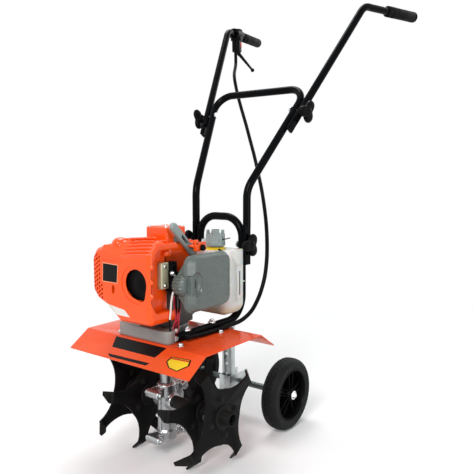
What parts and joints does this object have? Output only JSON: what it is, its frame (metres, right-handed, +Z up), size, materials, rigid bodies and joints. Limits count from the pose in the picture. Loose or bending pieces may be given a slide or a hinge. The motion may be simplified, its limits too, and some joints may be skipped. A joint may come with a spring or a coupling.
{
  "type": "garden tiller",
  "caption": "Front-tine garden tiller: two-stroke engine over an orange deck, rotor of four-blade tine stars, folding tube handlebar, two solid transport wheels.",
  "frame": {"origin": "on the floor, under the middle of the box around the whole machine", "axes": "+Z up, -Y the front (tine end), +Y the operator's end, +X the operator's left"},
  "size_m": [0.5688, 0.8712, 1.0936],
  "materials": {
    "deck_paint": "gloss",
    "orange_plastic": "gloss",
    "black_paint": "semi-gloss",
    "tine_black": "satin",
    "cast_alloy": "satin cast",
    "base_grey": "satin",
    "zinc": "zinc plated",
    "black_plastic": "matte",
    "grip_foam": "matte",
    "tyre": "matte",
    "grey_plastic": "satin",
    "tank_plastic": "translucent satin",
    "red_plastic": "gloss",
    "engine_cast": "cast",
    "silencer_steel": "dull"
  },
  "bodies": {
    "machine": {"axle_nut_left": "zinc", "axle_nut_right": "zinc", "carburettor": "engine_cast", "channel_hanger": "zinc", "deck_plate": "deck_paint", "drag_channel": "zinc", "drive_neck": "cast_alloy", "engine_base": "base_grey", "engine_block": "engine_cast", "engine_shroud": "orange_plastic", "fan_housing": "orange_plastic", "filter_base": "black_plastic", "filter_cover": "grey_plastic", "filter_knob": "black_plastic", "frame_bolts": "zinc", "frame_tube": "black_paint", "fuel_cap": "grey_plastic", "fuel_tank": "tank_plastic", "gear_case_bolts": "zinc", "gear_case_left": "cast_alloy", "gear_case_right": "cast_alloy", "loom_lower": "black_plastic", "low_pivot_bolts": "zinc", "rope_guide": "black_plastic", "silencer": "silencer_steel", "spark_plug_boot": "black_plastic", "starter_handle": "grey_plastic", "starter_housing": "orange_plastic", "tank_cradle": "engine_cast", "wheel_axle": "zinc", "wheel_fork": "zinc"},
    "tines": {"hub_pin_left": "zinc", "hub_pin_right": "zinc", "tine_hub_left": "tine_black", "tine_hub_right": "tine_black", "tine_shaft": "zinc", "tine_star_inner_left": "tine_black", "tine_star_inner_right": "tine_black", "tine_star_outer_left": "tine_black", "tine_star_outer_right": "tine_black"},
    "wheel_left": {"tyre_left": "tyre", "rim_left": "black_plastic"},
    "wheel_right": {"tyre_right": "tyre", "rim_right": "black_plastic"},
    "mid_handle": {"mid_handle": "black_paint", "low_knob_left": "black_plastic", "low_knob_right": "black_plastic", "high_pivot_bolts": "zinc", "loom_middle": "black_plastic"},
    "handle_left": {"handle_left": "black_paint", "grip_left": "grip_foam", "high_knob_left": "black_plastic"},
    "handle_right": {"handle_right": "black_paint", "grip_right": "grip_foam", "high_knob_right": "black_plastic", "throttle_housing": "black_plastic", "stop_switch": "red_plastic", "throttle_lever": "black_paint", "loom_upper": "black_plastic"}
  },
  "joints": [
    {"name": "tine_spin", "type": "hinge", "parent": "machine", "child": "tines", "pos_m": [0, -0.3104, 0.1246], "axis": [1, 0, 0], "continuous": true},
    {"name": "wheel_left_spin", "type": "hinge", "parent": "machine", "child": "wheel_left", "pos_m": [0.15, -0.0374, 0.089], "axis": [1, 0, 0], "continuous": true},
    {"name": "wheel_right_spin", "type": "hinge", "parent": "machine", "child": "wheel_right", "pos_m": [-0.15, -0.0374, 0.089], "axis": [1, 0, 0], "continuous": true},
    {"name": "mid_handle_fold", "type": "hinge", "parent": "machine", "child": "mid_handle", "pos_m": [0, -0.1104, 0.466], "axis": [1, 0, 0], "range_deg": [0, 70]},
    {"name": "handle_left_fold", "type": "hinge", "parent": "mid_handle", "child": "handle_left", "pos_m": [0.15011, 0.01853, 0.7896], "axis": [0.977, -0.1199, -0.1764], "range_deg": [-105, 0]},
    {"name": "handle_right_fold", "type": "hinge", "parent": "mid_handle", "child": "handle_right", "pos_m": [-0.15011, 0.01853, 0.7896], "axis": [0.977, 0.1199, 0.1764], "range_deg": [-105, 0]}
  ]
}
